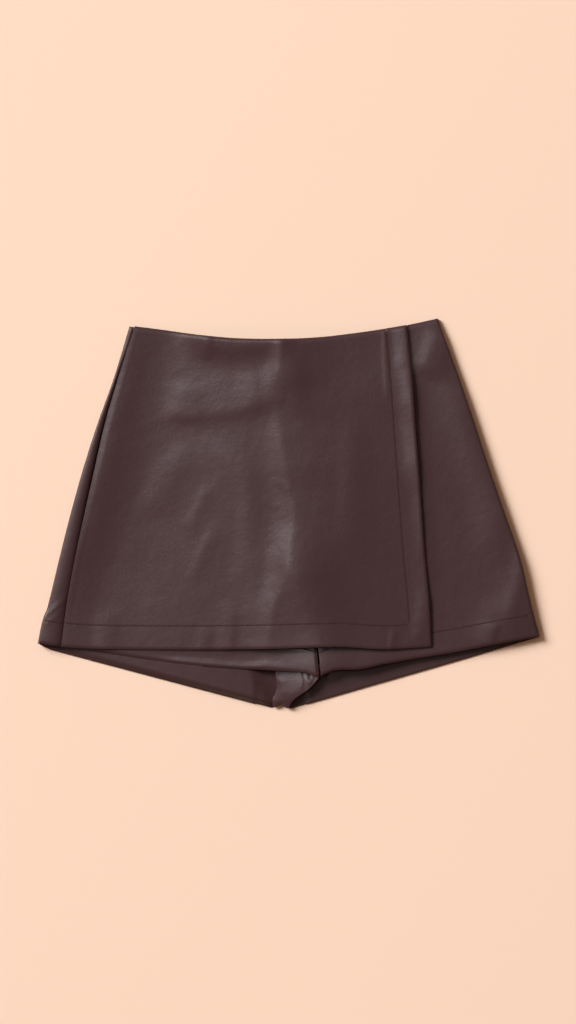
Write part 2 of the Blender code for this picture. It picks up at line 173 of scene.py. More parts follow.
def straight_y(points, x):
    """The same for an edge that is straight from point to point."""
    xs, ys = zip(*points)
    return np.interp(x, xs, ys)


def seam_x(seam, y):
    """Where a seam crosses the height y."""
    (top_x, top_y), (foot_x, foot_y) = seam
    return top_x + (foot_x - top_x) * (top_y - y) / (top_y - foot_y)


def section_at(y):
    """The row of the table for any height, between the given ones."""
    rows = SECTIONS[::-1]
    heights = [row.y for row in rows]
    return Section(y, *(smooth(heights, column, y) for column in list(zip(*rows))[1:]))


def between(a, b, share):
    """The value at this share of the way from a to b."""
    return a + (b - a) * share


def soften(distance, width):
    """0 on one side of a line and 1 on the other, with a soft step between."""
    return 1 / (1 + np.exp(-np.clip(distance / width, -STEP_LIMIT, STEP_LIMIT)))


def bump(distance, width):
    """1 on a line, and falling softly to 0 on both sides of it."""
    return np.exp(-((distance / width) ** 2))


hem_section = section_at(WRAP_HEM[0][1])
print("across the hem:", round(float(hem_section.right_fold - hem_section.left_fold), 1), "mm")

# %% [markdown]
# ## Folds and creases
#
# Coated cloth is springy: it doesn't crumple, it keeps a few long soft folds and some short drag
# lines. A simulation would invent its own, so they are listed one by one. Each is a path with a
# height and two widths, one for the flank that faces the window and one for the flank in shade.
# A wide lit flank and a narrow shaded one make the usual look of such cloth: a broad soft shine
# that stops along a line. The heights fade to nothing at both ends of the path, so a path that
# begins or ends outside the garment keeps its height up to the edge.

# %% A crease as a soft ridge or trough
Crease = namedtuple("Crease", "path lit shade height")
TOWARDS_LIGHT = np.array((-0.72, 0.69))  # the window's direction, seen from above
PATH_STEPS = 40  # straight pieces that a path is drawn with
END_FADE = 0.3  # share of its length over which a crease fades at each end
CREST = 2.1  # 2 would be a bell-shaped section, and more is flatter on top
CREST_SOFTNESS = 3.2  # how gradually the lit width becomes the shaded one at the crest


def crease_path(points):
    """The path's points, drawn close together along a smooth curve."""
    points = np.asarray(points, float)
    stations = np.arange(len(points))
    fine = np.linspace(0, len(points) - 1, PATH_STEPS + 1)
    return np.stack([smooth(stations, points[:, 0], fine), smooth(stations, points[:, 1], fine)], axis=1)


def crease_height(crease, x, y):
    """How high one crease stands at each place."""
    path = crease_path(crease.path)
    nearest = np.full(x.shape, np.inf)
    side = np.zeros(x.shape)
    for i in range(PATH_STEPS):
        ax, ay = path[i]
        run = path[i + 1] - path[i]
        across = np.array((-run[1], run[0])) / np.hypot(*run)
        if across @ TOWARDS_LIGHT < 0:
            across = -across
        t = np.clip(((x - ax) * run[0] + (y - ay) * run[1]) / (run @ run), 0, 1)
        dx, dy = x - ax - t * run[0], y - ay - t * run[1]
        distance = np.hypot(dx, dy)
        closer = distance < nearest
        nearest = np.where(closer, distance, nearest)
        side = np.where(closer, dx * across[0] + dy * across[1], side)
    width = between(crease.shade, crease.lit, soften(side, CREST_SOFTNESS))
    chord = path[-1] - path[0]
    along = ((x - path[0, 0]) * chord[0] + (y - path[0, 1]) * chord[1]) / (chord @ chord)
    fade = np.clip(np.minimum(along, 1 - along) / END_FADE, 0, 1)
    fade = fade * fade * (3 - 2 * fade)
    return crease.height * fade * np.exp(-((nearest / width) ** CREST))


def relief(creases, x, y):
    """The height of several creases together."""
    return sum((crease_height(crease, x, y) for crease in creases), np.zeros(x.shape))


# %% The creases, listed one by one
# Both layers of the front bend alike over the broad swell, in the trough beside the side seam and
# where they stand up next to the crotch.
BODY_CREASES = (
    Crease(((-5, 320), (-4, 100), (14, 10), (24, -120), (26, -300), (26, -480)), 120, 400, 1.6),
    Crease(((-118, 280), (-138, 115), (-158, 30), (-174, -20), (-194, -80), (-218, -190)), 42, 74, -2.9),
    Crease(((-4, -10), (16, -80), (30, -114), (38, -142), (44, -230)), 22, 34, 2.3),
)
# The wrap has its own: first the broad ones, then the small drag lines that they pull after them.
RIDGE = (
    (2, 155),
    (-5, 103),
    (-2, 75),
    (4, 45),
    (11, 10),
    (13, -12),
    (8, -40),
    (3, -72),
    (-12, -112),
    (-20, -190),
    (-20, -250),
)
WRAP_CREASES = (
    # the swell down the middle, and the long ridge of light on it
    Crease(((-5, 320), (-4, 100), (14, 10), (24, -120), (26, -300), (26, -480)), 110, 400, 1.2),
    Crease(RIDGE, 19, 160, 1.9),
    # how the ridge starts at the waist, and its shoulders
    Crease(((0, 480), (0, 220), (-3, 165), (1, 100)), 19, 120, 1.9),
    Crease(((0, 262), (-3, 200), (-8, 160), (-16, 120)), 13, 40, 1.5),
    Crease(((-2, 140), (-5, 103), (0, 60), (8, 20)), 17, 50, 0.8),
    Crease(((34, 80), (10, -36), (3, -72), (-14, -112), (-20, -190), (-18, -320)), 38, 60, 2.0),
    # the drag line across the hip
    Crease(((-170, 108), (-99, 115), (-62, 120), (-25, 129), (-5, 133), (20, 124), (63, 116)), 60, 16, 1.1),
    Crease(((-62, 128), (-30, 135), (0, 141), (30, 134)), 60, 22, 0.8),
    # two long low folds to the left of the ridge
    Crease(((-88, 92), (-50, 40), (-44, 0), (-46, -45), (-54, -110)), 13, 16, 0.7),
    Crease(((-104, 82), (-134, 40), (-158, -10)), 15, 18, 0.6),
    # the folds along the turned free edge, and a low one at the hip on the left
    Crease(((131, 290), (133, 181), (137, 125), (146, 50), (151, 0), (156, -60)), 11, 14, 1.4),
    Crease(((136, 150), (141, 85), (144, 20)), 13, 12, 1.0),
    Crease(((-112, 150), (-118, 124), (-122, 96)), 14, 20, 0.5),
    Crease(((150, 30), (153, -60), (158, -160)), 13, 24, 0.6),
    # the dip under the waist's edge
    Crease(((-130, 202), (-70, 192), (-36, 194), (12, 203)), 4, 20, 3.7),
    Crease(((-91, 204), (-91, 186), (-92, 166)), 7, 6, 0.35),
    # small drag lines
    Crease(((-86, 36), (-98, 12), (-114, -24)), 6, 10, 0.3),
    Crease(((-78, -10), (-98, -48), (-112, -82)), 6, 10, 0.3),
    Crease(((-20, 40), (-8, 32), (3, 20)), 4, 5, 0.15),
    Crease(((-30, 20), (-22, 12), (-8, 4)), 4, 6, 0.15),
    Crease(((-18, -30), (-32, -66), (-42, -140)), 14, 60, 0.4),
    Crease(((66, 120), (68, 60), (70, 0), (66, -70)), 14, 18, 0.45),
    Crease(((-66, -90), (-66, -124), (-74, -190)), 12, 9, 0.6),
    Crease(((-88, -120), (-94, -140), (-100, -180)), 8, 8, 0.4),
    Crease(((-200, -96), (-204, -135), (-204, -200)), 11, 14, 0.5),
    Crease(((105, 225), (107, 165), (110, 115)), 3, 4, 0.3),
    Crease(((118, 225), (122, 185), (125, 150)), 6, 8, 0.35),
    Crease(((152, -80), (148, -112), (140, -156)), 9, 12, 0.6),
    Crease(((116, -126), (114, -140), (112, -156)), 3, 5, 0.4),
)
# On the left leg's hem, on the front beside the wrap, at the foot of the strip over the left fold,
# and the pleats of the gusset.
HEM_CREASES = (
    Crease(((-160, -162), (-99, -167), (-54, -171), (-22, -169), (12, -175)), 3.5, 6, 0.75),
    Crease(((-230, -146), (-100, -148), (-20, -147), (70, -145)), 8, 7, 0.5),
)
SIDE_CREASES = (
    Crease(((172, 210), (160, 178), (148, 146)), 15, 22, 1.6),
    Crease(((170, 190), (198, 96), (226, 8), (232, -90)), 22, 18, 1.8),
    Crease(((262, 70), (267, -40), (254, -96), (240, -126), (232, -190)), 30, 30, 2.1),
    Crease(((260, -20), (257, -60), (248, -100), (238, -130)), 9, 8, 0.5),
    Crease(((228, -118), (223, -134), (218, -152)), 14, 6, 0.7),
    Crease(((128, 210), (131, 150), (138, 50), (142, 0), (147, -60), (152, -150)), 5, 13, 1.2),
)
STRIP_CREASES = (
    Crease(((-276, -119), (-258, -104), (-240, -90)), 3, 3.5, 0.28),
    Crease(((-274, -127), (-260, -115), (-246, -104)), 3, 3.5, 0.2),
)
GUSSET_CREASES = (
    Crease(((10, -172), (14, -184), (13, -198)), 2.6, 2.2, 0.3),
    Crease(((19, -172), (20, -183), (24, -193)), 2.4, 2.0, 0.35),
    Crease(((27, -176), (26, -182), (22, -190)), 2.0, 1.8, 0.2),
    Crease(((-12, -180), (-7, -192), (-9, -206)), 4, 6, 0.4),
)
# Under the garment the cloth is pressed flat, and lifts off in a few long low places. The first
# crease of each side shows as the inside of a leg, beside the gusset: it falls off steeply there.
BACK_LEFT_CREASES = (
    Crease(((-72, 0), (-62, -120), (-49, -180), (-34, -216), (-10, -300)), 130, 20, 6.0),
    Crease(((-140, 150), (-166, 50), (-190, -60)), 14, 17, 0.7),
    Crease(((-86, 170), (-104, 96), (-108, 10)), 11, 16, 0.5),
    Crease(((-168, -70), (-190, -104), (-200, -128)), 8, 10, 0.4),
)
BACK_RIGHT_CREASES = (
    Crease(((78, -48), (38, -140), (22, -164), (5, -184), (-13, -202), (-42, -238)), 8, 14, 2.6),
    Crease(((118, 160), (146, 60), (152, -60)), 14, 18, 0.7),
    Crease(((66, 172), (70, 100), (92, 10)), 11, 14, 0.5),
    Crease(((128, -70), (140, -104), (138, -140)), 8, 11, 0.4),
)
BODY_TABLES = (BODY_CREASES, WRAP_CREASES, HEM_CREASES, SIDE_CREASES, STRIP_CREASES, GUSSET_CREASES)
BACK_TABLES = (BACK_LEFT_CREASES, BACK_RIGHT_CREASES)
print(sum(len(table) for table in BODY_TABLES + BACK_TABLES), "creases placed by hand")

# %% [markdown]
# ## How high each layer lies
#
# The shorts' front rests on the back, and the wrap rests on the shorts' front. Seen in section,
# the cloth dips into a shallow valley at the left side seam and stands up again in a rolled edge
# beside it. The layers lie at the solids' heights, but for the thinner cloth, the lower wrap and
# its free edge, which sinks onto the shorts. The creases come on top.

# %% Heights of the shorts' front
SHORTS_VALLEY = 0.1  # share of the table's depth by which the shorts dip at the side seam
VALLEY_WIDTH = 4.5
WAIST_ROLL = 0.8  # how far the turned waist edge rolls down
WAIST_ROLL_REACH = 4.0  # and how far below the edge the roll begins
SEAM_DIP = 0.9  # how far the shorts dip along the front seam
SEAM_DIP_LEFT = 2.0  # width of that dip on the seam's left
SEAM_DIP_RIGHT = 0.8  # and on its right
SEAM_FADE = 9.0  # the folds die out over this distance from the side seam
FLAP_OVERLAP = 12.0  # the right front's own folds begin this far under the wrap
CROTCH_LIFT = 3.0  # how much higher the shorts stand next to the crotch
CROTCH_REACH = 42.0
CROTCH_LEFT, CROTCH_RIGHT, CROTCH_Y = 22.0, 84.0, -176.0  # they are highest along this line


def crotch_lift(x, y):
    """The shorts stand open at the right leg, next to the crotch."""
    away = np.hypot(x - np.clip(x, CROTCH_LEFT, CROTCH_RIGHT), y - CROTCH_Y)
    return CROTCH_LIFT * bump(away, CROTCH_REACH)


def from_side_seam(x, section):
    """0 at the side seam and 1 away from it: the folds die out towards the seam."""
    inside = np.clip((x - section.side_seam) / SEAM_FADE, 0, 1)
    return inside * inside * (3 - 2 * inside)


def shorts_base(x, y):
    """The height that the shorts' front and the wrap over it have in common."""
    section = section_at(y)
    share = np.clip((x - section.side_seam) / (section.right_fold - section.side_seam), 0, 1)
    valley = SHORTS_VALLEY * section.dip * bump(x - section.side_seam, VALLEY_WIDTH)
    below_waist = edge_y(WAIST, x) - y
    edge = WAIST_ROLL * np.maximum(0, 1 - below_waist / WAIST_ROLL_REACH) ** 2
    lifted = crotch_lift(x, y) + relief(BODY_CREASES, x, y)
    crown = section.crown * np.sin(pi * share)
    return 2 * section.radius + crown - valley - edge + lifted * from_side_seam(x, section)


def shorts_z(x, y):
    """The height of the shorts' front. The hem's creases stop at the front seam."""
    from_seam = x - seam_x(FRONT_SEAM, y)
    seam = SEAM_DIP * bump(from_seam, np.where(from_seam < 0, SEAM_DIP_LEFT, SEAM_DIP_RIGHT))
    seam = seam - relief(HEM_CREASES, x, y) * (from_seam < 0)
    section = section_at(y)
    shows = np.clip((x - section.wrap_edge) / FLAP_OVERLAP + 1, 0, 1)
    return shorts_base(x, y) - seam + relief(SIDE_CREASES, x, y) * shows


def lower_waist(x):
    """The waist's edge, a step lower where the wrap lies over it."""
    return edge_y(WAIST, x) - np.where(x < SECTIONS[0].wrap_edge, WAIST_STEP, 0)


# %% Heights of the wrap
WRAP_VALLEY = 0.08  # share of the table's depth by which the wrap dips more than the shorts
ROLL_AT = 8.0  # the rolled edge runs this far in from the side seam
ROLL_FLANK = 5.0  # its width towards the seam
ROLL_BACK = 16.0  # and away from it
ROLL_HEIGHT = 0.6
ROLL_MIDDLE_Y = 70.0  # the roll is at its highest here, and half as high far from it
ROLL_REACH = 120.0
EDGE_SINK = 1.6  # how much lower the wrap lies at its free edge
EDGE_SINK_REACH = 70.0
EDGE_STANDS_Y = 138.0  # but at this height the free edge stands off the shorts
EDGE_STANDS_REACH = 36.0


def wrap_z(x, y):
    """The height of the wrap's face."""
    section = section_at(y)
    from_seam = x - section.side_seam
    valley = WRAP_VALLEY * section.dip * bump(from_seam, VALLEY_WIDTH)
    roll = ROLL_HEIGHT * bump(from_seam - ROLL_AT, np.where(from_seam < ROLL_AT, ROLL_FLANK, ROLL_BACK))
    roll *= (1 + bump(y - ROLL_MIDDLE_Y, ROLL_REACH)) / 2
    folds = relief(WRAP_CREASES, x, y) * from_side_seam(x, section)
    stands = bump(y - EDGE_STANDS_Y, EDGE_STANDS_REACH)
    sinks = EDGE_SINK * bump(section.wrap_edge - x, EDGE_SINK_REACH) * (1 - stands)
    return shorts_base(x, y) + WRAP_LIFT - valley + roll + folds - sinks


def seam_z(y):
    """The height of the side seam, where the wrap's edge lies over the back's cloth."""
    return wrap_z(section_at(y).side_seam, y)


middle = np.array(0.0)
print("height of the wrap's face in the middle:", round(float(wrap_z(middle, middle)), 1), "mm")

# %% [markdown]
# ## A panel of cloth
#
# Solidify would give a wall of even thickness with square edges. A turned hem is twice as thick
# and its edge is a fold, so the wall is built here: the outer face is a grid, the inner face is
# the same grid moved in along its normals, and a rim joins the two all the way round. The rim is
# round along a folded edge. Along a seam it is nearly flat, and its outer border is marked sharp,
# so that the shading of the face doesn't bend over the cut edge and draw a bright line there.

# %% Build a closed wall from a grid of points
Rim = namedtuple("Rim", "top right foot left")  # how far each border bulges, 1 for a round fold
RIM_STEPS = 4  # faces from the outer face to the inner one
ROUND_EDGE = 0.5  # a border that bulges less than this is a seam


def grid_normals(face):
    """The normals of a grid of points, out of its front."""
    down, right = np.gradient(face, axis=0), np.gradient(face, axis=1)
    normals = np.cross(right, -down)
    return normals / np.linalg.norm(normals, axis=2, keepdims=True)


def perimeter(rows, columns):
    """Rows and columns of the grid's border, once round."""
    top = [(0, c) for c in range(columns)]
    right = [(r, columns - 1) for r in range(1, rows)]
    foot = [(rows - 1, c) for c in range(columns - 2, -1, -1)]
    left = [(r, 0) for r in range(rows - 2, 0, -1)]
    return np.array(top + right + foot + left)


def border_shape(face, ring, rim):
    """For each point of the border, the way out of the panel and how far the rim bulges."""
    rows, columns = face.shape[:2]
    r, c = ring.T
    outward, bulge = np.zeros((len(ring), 3)), np.zeros(len(ring))
    sides = (
        (r == 0, (1, 0), rim.top),
        (c == columns - 1, (0, -1), rim.right),
        (r == rows - 1, (-1, 0), rim.foot),
        (c == 0, (0, 1), rim.left),
    )
    for at_side, (row_in, column_in), side_bulge in sides:
        i = np.nonzero(at_side)[0]
        away = face[r[i], c[i]] - face[r[i] + row_in, c[i] + column_in]
        outward[i] += away / np.linalg.norm(away, axis=1, keepdims=True)
        bulge[i] = np.maximum(bulge[i], side_bulge)
    return outward / np.linalg.norm(outward, axis=1, keepdims=True), bulge


def rim_rings(outer, inner, outward, bulge):
    """Rings of points from the outer border to the inner one."""
    half = np.linalg.norm(outer - inner, axis=1, keepdims=True) / 2
    rings = []
    for step in range(1, RIM_STEPS):
        turn = pi * step / RIM_STEPS
        out = outward * half * np.sin(turn) * bulge[:, None]
        rings.append((outer + inner) / 2 + (outer - inner) / 2 * np.cos(turn) + out)
    return rings


def add_piece(name, points, faces, material):
    """A mesh from points in millimetres, as an object that rides on the garment's body."""
    mesh = bpy.data.meshes.new(name)
    mesh.from_pydata((points * MM).tolist(), [], faces)
    mesh.shade_smooth()
    mesh.materials.append(material)
    piece = bpy.data.objects.new(name, mesh)
    bpy.context.scene.collection.objects.link(piece)
    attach(piece, BODY)
    return piece


def sharpen(mesh, at_points):
    """Marks the edges between these points as sharp."""
    ends = np.zeros(2 * len(mesh.edges), dtype=np.int32)
    mesh.edges.foreach_get("vertices", ends)
    sharp = mesh.attributes.new("sharp_edge", "BOOLEAN", "EDGE")
    sharp.data.foreach_set("value", at_points[ends.reshape(-1, 2)].all(axis=1))


def cloth_shell(name, face, thickness, rim, material):
    """A closed wall behind a grid of points."""
    rows, columns = face.shape[:2]
    count = rows * columns
    inner = face - grid_normals(face) * thickness[..., None]
    ring = perimeter(rows, columns)
    r, c = ring.T
    outward, bulge = border_shape(face, ring, rim)
    rings = rim_rings(face[r, c], inner[r, c], outward, bulge)
    points = np.concatenate([face.reshape(-1, 3), inner.reshape(-1, 3), *rings])
    ids = np.arange(count).reshape(rows, columns)
    quads = np.stack([ids[1:, :-1], ids[1:, 1:], ids[:-1, 1:], ids[:-1, :-1]], axis=-1).reshape(-1, 4)
    faces = [quads, quads[:, ::-1] + count]
    loops = [2 * count + k * len(ring) + np.arange(len(ring)) for k in range(len(rings))]
    loops = [ids[r, c], *loops, ids[r, c] + count]
    for loop, following in zip(loops, loops[1:]):
        faces.append(np.stack([loop, np.roll(loop, -1), np.roll(following, -1), following], axis=-1))
    piece = add_piece(name, points, np.concatenate(faces).tolist(), material)
    at_seam = np.zeros(len(points), dtype=bool)
    at_seam[ids[r, c][bulge < ROUND_EDGE]] = True
    sharpen(piece.data, at_seam)
    print(name, "has", len(piece.data.polygons), "faces")
    return piece


# %% [markdown]
# A panel's grid is drawn in its own two directions: rows from the waist to the hem, columns from
# seam to seam. Where a row crosses a column depends on both, so each point is found by going back
# and forth between the two curves until it stays put. Counting rows from 0 to 1 above the hem's
# stitching and from 1 to 2 below it keeps that line exactly on a row. Lines lie closer together
# where the cloth bends sharply, at the stitching and at the seams.

# %% Rows, columns and where they meet
SETTLE_STEPS = 12
GRID = 2.0  # distance between lines where the cloth is smooth
NEAR_STITCHES = (-2.4, -1.8, -1.3, -0.9, -0.5, -0.15, 0.0, 0.15, 0.3, 0.7, 1.4)  # places of lines


def settle(x_at, top_at, foot_at, row, column):
    """Where the rows cross the columns."""
    y = np.zeros(np.broadcast(row, column).shape)
    for _ in range(SETTLE_STEPS):
        x = x_at(y, column)
        hem_top = foot_at(x) + HEM
        y = np.where(row <= 1, between(top_at(x), hem_top, row), between(hem_top, foot_at(x), row - 1))
    return x, y


def stretch(first, last, millimetres, pitch=GRID):
    """Evenly spaced values for a stretch of that length, both ends included."""
    return np.linspace(first, last, max(2, round(millimetres / pitch) + 1))


def stitched_lines(body_length, turn_depth):
    """Lines from 0 to 2 that lie close together about 1, where the stitching is."""
    fine = np.array(NEAR_STITCHES)
    body = stretch(0, 1 + fine[0] / body_length, body_length)[:-1]
    near = np.where(fine < 0, 1 + fine / body_length, 1 + fine / turn_depth)
    turn = stretch(1 + fine[-1] / turn_depth, 2, turn_depth)[1:]
    return np.concatenate([body, near, turn])


print("lines within", max(NEAR_STITCHES) - min(NEAR_STITCHES), "mm of a row of stitches:", len(NEAR_STITCHES))

# %% [markdown]
# ## Faux leather
#
# The cloth is a knit with a skin of polyurethane, pressed against grained paper while it was
# soft. To the eye that is a dark brown with almost no colour of its own in the shine, an even
# satin gloss, and a pebbled grain about half a millimetre wide. At this distance the grain can't
# be told apart, and only blurs the highlights, so the bump is drawn a little coarser than life.
# The dye is a shade uneven.

# %% Colours and nodes
def linear(hex_colour):
    """An sRGB hex value as the linear colour that shaders use."""
    parts = [int(hex_colour[i : i + 2], 16) / 255 for i in (1, 3, 5)]
    return [p / 12.92 if p <= 0.04045 else ((p + 0.055) / 1.055) ** 2.4 for p in parts] + [1.0]


def add_node(tree, kind, settings=(), links=()):
    """A node with its settings, its unlinked inputs, and what feeds its inputs."""
    node = tree.nodes.new(kind)
    for key, value in dict(settings).items():
        if key in node.inputs:
            node.inputs[key].default_value = value
        else:
            setattr(node, key, value)
    for key, output in dict(links).items():
        tree.links.new(output, node.inputs[key])
    return node


def new_material(name):
    material = bpy.data.materials.new(name)
    material.use_nodes = True
    tree = material.node_tree
    tree.nodes.clear()
    output = add_node(tree, "ShaderNodeOutputMaterial")
    return material, tree, output


def per_metre(millimetres):
    """A texture's scale for a pattern of that size."""
    return 1000 / millimetres


# %% Faux leather: a polyurethane skin on knitted cloth
# The skin is matted, so it mirrors about half as much as plain polyurethane, whose specular level
# would be 0.5, and a roughness near 0.3 spreads what it mirrors into a satin sheen.
LEATHER_DARK = "#412e2f"
LEATHER_LIGHT = "#453132"
POLYURETHANE_IOR = 1.5
LEATHER_GLOSS = 0.23
LEATHER_SMOOTHEST = 0.27
LEATHER_ROUGHEST = 0.36
GRAIN = 0.7  # width of a pebble of the grain, which is about 0.5 in life
WRINKLE = 3.2  # fine unevenness of the skin over the knit
RIPPLE = 18.0  # slow waves that the cloth keeps from lying folded
DYE_PATCH = 60.0  # where the dye is a shade lighter or darker


def faux_leather():
    material, tree, output = new_material("pu_faux_leather")
    at = {"Vector": add_node(tree, "ShaderNodeTexCoord").outputs["Object"]}
    dye = add_node(tree, "ShaderNodeTexNoise", {"Scale": per_metre(DYE_PATCH), "Detail": 4}, at)
    colour = add_node(tree, "ShaderNodeMix", {"data_type": "RGBA"}, {"Factor": dye.outputs["Fac"]})
    colour.inputs[6].default_value = linear(LEATHER_DARK)
    colour.inputs[7].default_value = linear(LEATHER_LIGHT)
    grain = add_node(tree, "ShaderNodeTexVoronoi", {"Scale": per_metre(GRAIN)}, at)
    wrinkle = add_node(tree, "ShaderNodeTexNoise", {"Scale": per_metre(WRINKLE), "Detail": 3}, at)
    ripple = add_node(tree, "ShaderNodeTexNoise", {"Scale": per_metre(RIPPLE), "Detail": 2}, at)
    pebbles = add_node(
        tree,
        "ShaderNodeBump",
        {"Strength": 0.25, "Distance": 0.00008},
        {"Height": grain.outputs["Distance"]},
    )
    skin = add_node(
        tree,
        "ShaderNodeBump",
        {"Strength": 0.22, "Distance": 0.0003},
        {"Height": wrinkle.outputs["Fac"], "Normal": pebbles.outputs["Normal"]},
    )
    face = add_node(
        tree,
        "ShaderNodeBump",
        {"Strength": 0.3, "Distance": 0.0009},
        {"Height": ripple.outputs["Fac"], "Normal": skin.outputs["Normal"]},
    )
    satin = add_node(
        tree,
        "ShaderNodeMapRange",
        {"To Min": LEATHER_SMOOTHEST, "To Max": LEATHER_ROUGHEST},
        {"Value": wrinkle.outputs["Fac"]},
    )
    shader = add_node(
        tree,
        "ShaderNodeBsdfPrincipled",
        {"IOR": POLYURETHANE_IOR, "Specular IOR Level": LEATHER_GLOSS},
        {
            "Base Color": colour.outputs[2],
            "Roughness": satin.outputs["Result"],
            "Normal": face.outputs["Normal"],
        },
    )
    tree.links.new(shader.outputs["BSDF"], output.inputs["Surface"])
    return material


leather = faux_leather()
print("cloth:", leather.name, "with a grain of", GRAIN, "mm")

# %% Sewing thread: spun polyester
# Two plies twisted together, dull because every fibre points another way, and a little darker
# than the cloth in life. Its colour here is much darker still: painted shade for the groove and
# the needle holes that the thread lies in.
THREAD_AND_GROOVE_SHADE = "#150d0d"
THREAD_TWIST = 2.4  # length of a turn of the twist, drawn coarser than life


def sewing_thread():
    material, tree, output = new_material("polyester_thread")
    at = {"Vector": add_node(tree, "ShaderNodeTexCoord").outputs["Object"]}
    twist = add_node(tree, "ShaderNodeTexWave", {"Scale": per_metre(THREAD_TWIST), "Distortion": 1.0}, at)
    ply = add_node(
        tree,
        "ShaderNodeBump",
        {"Strength": 0.5, "Distance": 0.0001},
        {"Height": twist.outputs["Fac"]},
    )
    # the thread's base colour carries painted shade for the groove it lies in
    shader = add_node(
        tree,
        "ShaderNodeBsdfPrincipled",
        {"Base Color": linear(THREAD_AND_GROOVE_SHADE), "Roughness": 0.85, "Specular IOR Level": 0.2},
        {"Normal": ply.outputs["Normal"]},
    )
    tree.links.new(shader.outputs["BSDF"], output.inputs["Surface"])
    return material


thread = sewing_thread()
print("thread:", thread.name)

# %% [markdown]
# ## The wrap panel
#
# This is the piece that the eye sees first: an A-line overlay with a 25 mm turned hem and a turned
# free edge, each held by one line of stitching. Under the stitching two layers of cloth lie on
# each other, so the face steps up a little there, and the thread pulls it into a shallow groove.

# %% Turned edges
GROOVE_DEPTH = 0.22  # of the groove that the thread pulls into the cloth
GROOVE_SINGLE_SIDE = 0.9  # its width over the single cloth
GROOVE_DOUBLE_SIDE = 0.1  # and over the turned cloth, which is stiffer
TURN_STEP = 0.1  # how much higher the face lies over the turned cloth
TURN_SOFTNESS = 5.0
HEM_ROLL = 0.9  # how far a leg's hem rolls down at its fold
HEM_ROLL_REACH = 3.0
THINNEST = 0.3  # the least that is left of a wall where its edge rolls down


def pressed_line(distance):
    """The groove along a line of stitching, and the step up to the double cloth beyond it.

    The single cloth slopes down into the groove and the double cloth's edge stands up from it.
    """
    width = np.where(distance < 0, GROOVE_SINGLE_SIDE, GROOVE_DOUBLE_SIDE)
    return TURN_STEP * soften(distance, TURN_SOFTNESS) - GROOVE_DEPTH * bump(distance, width)


def rolled_edge(distance, drop=HEM_ROLL, reach=HEM_ROLL_REACH):
    """How far a turned edge rolls down at a distance in from its fold."""
    return drop * np.maximum(0, 1 - distance / reach) ** 2


def turned_wall(in_turn, rolled):
    """The wall's thickness: two layers where an edge is turned in, less where its fold rolls down."""
    return np.maximum(CLOTH * (1 + in_turn) - rolled, THINNEST)


print("double cloth in the hems:", 2 * CLOTH, "mm")

# %% The wrap panel
WRAP_HEM_ROLL = 0.5
WRAP_HEM_ROLL_REACH = 2.0
FREE_EDGE_ROLL = 0.6
FREE_EDGE_ROLL_REACH = 0.9
WRAP_LENGTH = 332.0  # about, above the hem, for the number of rows
WRAP_WIDTH = 350.0  # about, up to the turned edge, for the number of columns
WRAP_BY_SEAM = np.array((0.245, 0.56))  # more columns by the side seam, for even shading up to it
WRAP_RIM = Rim(top=1, right=1, foot=1, left=0.1)


def from_wrap_edges(x, y):
    """Distances from the wrap's hem and from its free edge."""
    return y - edge_y(WRAP_HEM, x), section_at(y).wrap_edge - x


def wrap_roll(x, y):
    """How far the wrap's two folded edges roll down."""
    from_foot, from_edge = from_wrap_edges(x, y)
    foot = rolled_edge(from_foot, WRAP_HEM_ROLL, WRAP_HEM_ROLL_REACH)
    return foot + rolled_edge(from_edge, FREE_EDGE_ROLL, FREE_EDGE_ROLL_REACH)


def wrap_point(column, row):
    """Columns go from 0 to 1 up to the stitching of the free edge, and to 2 at the edge."""

    def x_at(y, column):
        section = section_at(y)
        turn = section.wrap_edge - FACING
        body = between(section.side_seam + SEAM_GAP / 2, turn, column)
        return np.where(column <= 1, body, between(turn, section.wrap_edge, column - 1))

    x, y = settle(x_at, lambda x: edge_y(WAIST, x), lambda x: edge_y(WRAP_HEM, x), row, column)
    from_foot, from_edge = from_wrap_edges(x, y)
    z = wrap_z(x, y) + pressed_line(HEM - from_foot) * soften(from_edge - FACING, 1)
    z += pressed_line(FACING - from_edge) * soften(from_foot - HEM, 1)
    return np.stack([x, y, z - wrap_roll(x, y)], axis=-1)


wrap_rows = stitched_lines(WRAP_LENGTH, HEM)[:, None]
wrap_columns = stitched_lines(WRAP_WIDTH, FACING)
wrap_columns = np.insert(wrap_columns, 1, WRAP_BY_SEAM / WRAP_WIDTH)[None, :]
wrap_face = wrap_point(wrap_columns, wrap_rows)
wrap_wall = turned_wall((wrap_rows > 1) | (wrap_columns > 1), wrap_roll(wrap_face[..., 0], wrap_face[..., 1]))
wrap = cloth_shell("wrap_cloth", wrap_face, wrap_wall, WRAP_RIM, leather)
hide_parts("wrap_panel")

# %% [markdown]
# ## The shorts' front
#
# Only the hems of the shorts' front show below the wrap, and a long triangle of the right front
# beside it. The right front goes on under the right fold, so its columns run over the face, round
# the fold and a little way along the surface that the garment lies on.

# %% The left front
SHORTS_LENGTH = 345.0  # about, above the hem, for the number of rows
LEFT_FRONT_WIDTH = 270.0  # about, for the number of columns
NEAR_SEAM = np.array((0.0, 0.3, 0.6, 1.0, 1.5, 2.0, 2.6, 3.2, 4.0, 5.0))  # columns by the front seam
SHORTS_RIM = Rim(top=1, right=0.2, foot=1, left=0.2)


def front_left_point(column, row):
    def x_at(y, column):
        return between(section_at(y).side_seam + SEAM_GAP / 2, seam_x(FRONT_SEAM, y) - SEAM_GAP / 2, column)

    x, y = settle(x_at, lower_waist, lambda x: edge_y(LEFT_LEG_HEM, x), row, column)
    from_foot = y - edge_y(LEFT_LEG_HEM, x)
    z = shorts_z(x, y) + pressed_line(HEM - from_foot) - rolled_edge(from_foot)
    return np.stack([x, y, z], axis=-1)


def leg_wall(face, double, hem):
    """The wall's thickness on a leg's front."""
    return turned_wall(double, rolled_edge(face[..., 1] - edge_y(hem, face[..., 0])))


